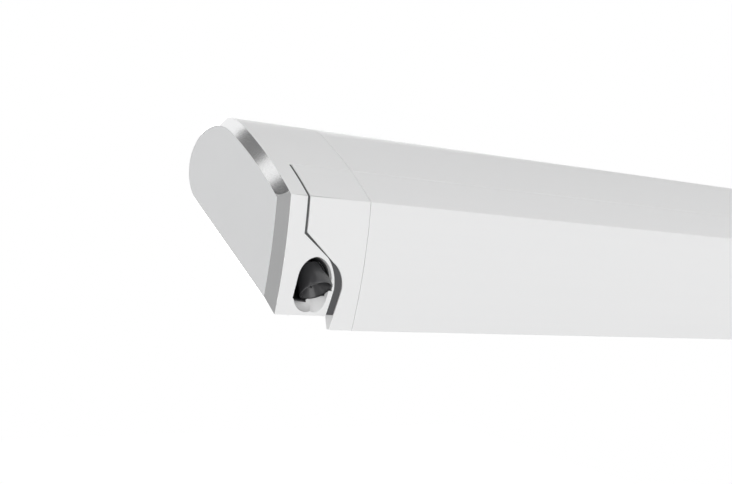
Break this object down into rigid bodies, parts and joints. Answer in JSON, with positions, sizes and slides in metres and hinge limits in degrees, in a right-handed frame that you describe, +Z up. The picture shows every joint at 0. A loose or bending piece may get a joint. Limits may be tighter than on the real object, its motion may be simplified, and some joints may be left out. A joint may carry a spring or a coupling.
{
  "type": "roll out awning",
  "caption": "Roof mounted cassette awning: a closed case whose lead rail rolls out on folding arms, with a winch eye and support legs.",
  "frame": {"origin": "centre of the centre roof adapter's two holes, on the underside of its foot, where it meets the vehicle's roof", "axes": "+X along the case, away from the winch end; -Y outwards, the way the lead rail travels; +Z up"},
  "size_m": [2.616, 0.2064, 0.1622],
  "materials": {
    "white_case": "satin powder coat",
    "white_cap": "fine satin",
    "grey_cover": "satin",
    "bright_trim": "satin metallic",
    "dark_trim": "fine grain",
    "black_plastic": "matt",
    "crank_grey": "satin",
    "gear_plastic": "glass filled",
    "bronze": "turned",
    "steel": "zinc plated",
    "raw_aluminium": "mill finish",
    "cast_arm": "die cast",
    "cloth": "woven coated polyester",
    "seal": "matt"
  },
  "bodies": {
    "case": {"rear_housing": "white_case", "left_end_cap": "white_cap", "right_end_cap": "white_cap", "left_cover_plate": "grey_cover", "right_cover_plate": "grey_cover", "left_trim_rim": "bright_trim", "right_trim_rim": "bright_trim", "cap_strips": "dark_trim", "winch_well": "black_plastic", "gearbox_housing": "gear_plastic", "gearbox_cover": "gear_plastic", "worm_bushes": "bronze", "idler_bearing": "gear_plastic", "left_shoulder_bracket": "cast_arm", "right_shoulder_bracket": "cast_arm", "shoulder_pins": "steel", "roof_adapters": "white_case", "tie_screws": "steel", "gearbox_screws": "steel", "wall_screws": "steel", "lip_seal": "seal"},
    "winch": {"worm_shaft": "steel", "crank_eye": "crank_grey"},
    "roller": {"roller_tube": "steel", "drive_plug": "gear_plastic", "idler_plug": "gear_plastic", "worm_wheel": "gear_plastic", "fabric_roll": "cloth"},
    "lead_rail": {"lead_rail": "white_case", "left_rail_cap": "white_cap", "right_rail_cap": "white_cap", "wrist_brackets": "cast_arm", "wrist_pins": "steel", "front_keder": "cloth", "leg_pivot_pins": "steel"},
    "canopy": {"canopy_web": "cloth"},
    "left_upper_arm": {"left_upper_tube": "raw_aluminium", "left_shoulder_knuckle": "cast_arm", "left_elbow_fork": "cast_arm", "left_elbow_pin": "steel", "left_arm_spring": "steel"},
    "left_forearm": {"left_forearm_tube": "raw_aluminium", "left_elbow_tongue": "cast_arm", "left_wrist_knuckle": "cast_arm"},
    "left_leg": {"left_leg_tube": "raw_aluminium"},
    "left_leg_extension": {"left_leg_inner": "raw_aluminium", "left_leg_foot": "black_plastic"},
    "left_lock": {"left_leg_lock": "black_plastic"},
    "right_upper_arm": {"right_upper_tube": "raw_aluminium", "right_shoulder_knuckle": "cast_arm", "right_elbow_fork": "cast_arm", "right_elbow_pin": "steel", "right_arm_spring": "steel"},
    "right_forearm": {"right_forearm_tube": "raw_aluminium", "right_elbow_tongue": "cast_arm", "right_wrist_knuckle": "cast_arm"},
    "right_leg": {"right_leg_tube": "raw_aluminium"},
    "right_leg_extension": {"right_leg_inner": "raw_aluminium", "right_leg_foot": "black_plastic"},
    "right_lock": {"right_leg_lock": "black_plastic"}
  },
  "joints": [
    {"name": "left_shoulder", "type": "hinge", "parent": "case", "child": "left_upper_arm", "pos_m": [-1.186, -0.125, 0.01], "axis": [0, 0.1564, -0.9877], "range_deg": [0, 62.02]},
    {"name": "left_elbow", "type": "hinge", "parent": "left_upper_arm", "child": "left_forearm", "pos_m": [-0.04435, -0.14031, 0.00758], "axis": [0, 0.1564, -0.9877], "range_deg": [-124.05, 0]},
    {"name": "left_wrist", "type": "hinge", "parent": "left_forearm", "child": "lead_rail", "pos_m": [-1.186, -0.15562, 0.00515], "axis": [0, 0.1564, -0.9877], "range_deg": [0, 62.02]},
    {"name": "right_shoulder", "type": "hinge", "parent": "case", "child": "right_upper_arm", "pos_m": [1.186, -0.125, 0.01], "axis": [0, 0.1564, -0.9877], "range_deg": [-62.02, 0]},
    {"name": "right_elbow", "type": "hinge", "parent": "right_upper_arm", "child": "right_forearm", "pos_m": [0.04435, -0.14031, 0.00758], "axis": [0, 0.1564, -0.9877], "range_deg": [0, 124.05]},
    {"name": "canopy_slide", "type": "slide", "parent": "case", "child": "canopy", "axis": [0, -0.9877, -0.1564], "range_m": [0, 2.0001], "deforming": ["canopy_web"]},
    {"name": "crank_spin", "type": "hinge", "parent": "case", "child": "winch", "pos_m": [-1.2585, -0.1755, -0.0296], "axis": [0, 0.656, 0.7547], "continuous": true},
    {"name": "roller_spin", "type": "hinge", "parent": "case", "child": "roller", "pos_m": [0, -0.08, 0.051], "axis": [1, 0, 0], "continuous": true},
    {"name": "left_leg_swing", "type": "hinge", "parent": "lead_rail", "child": "left_leg", "pos_m": [-1.186, -0.1678, -0.0275], "axis": [0, 1, 0], "range_deg": [0, 90]},
    {"name": "left_leg_slide", "type": "slide", "parent": "left_leg", "child": "left_leg_extension", "axis": [1, 0, 0], "range_m": [0, 1.04]},
    {"name": "left_leg_lock_turn", "type": "hinge", "parent": "left_leg", "child": "left_lock", "pos_m": [-0.0128, -0.1678, -0.0439], "axis": [0, -1, 0], "range_deg": [0, 80]},
    {"name": "right_leg_swing", "type": "hinge", "parent": "lead_rail", "child": "right_leg", "pos_m": [1.186, -0.157, -0.0275], "axis": [0, -1, 0], "range_deg": [0, 90]},
    {"name": "right_leg_slide", "type": "slide", "parent": "right_leg", "child": "right_leg_extension", "axis": [-1, 0, 0], "range_m": [0, 1.04]},
    {"name": "right_leg_lock_turn", "type": "hinge", "parent": "right_leg", "child": "right_lock", "pos_m": [0.0128, -0.157, -0.0439], "axis": [0, 1, 0], "range_deg": [0, 80]}
  ],
  "couplings": [
    {"joint": "left_elbow", "follows": "left_shoulder", "ratio": -2},
    {"joint": "left_wrist", "follows": "left_shoulder", "ratio": 1},
    {"joint": "right_shoulder", "follows": "left_shoulder", "ratio": -1},
    {"joint": "right_elbow", "follows": "left_shoulder", "ratio": 2},
    {"joint": "canopy_slide", "follows": "left_shoulder", "m_per_rad": 1.8476},
    {"joint": "crank_spin", "follows": "roller_spin", "ratio": 18}
  ]
}
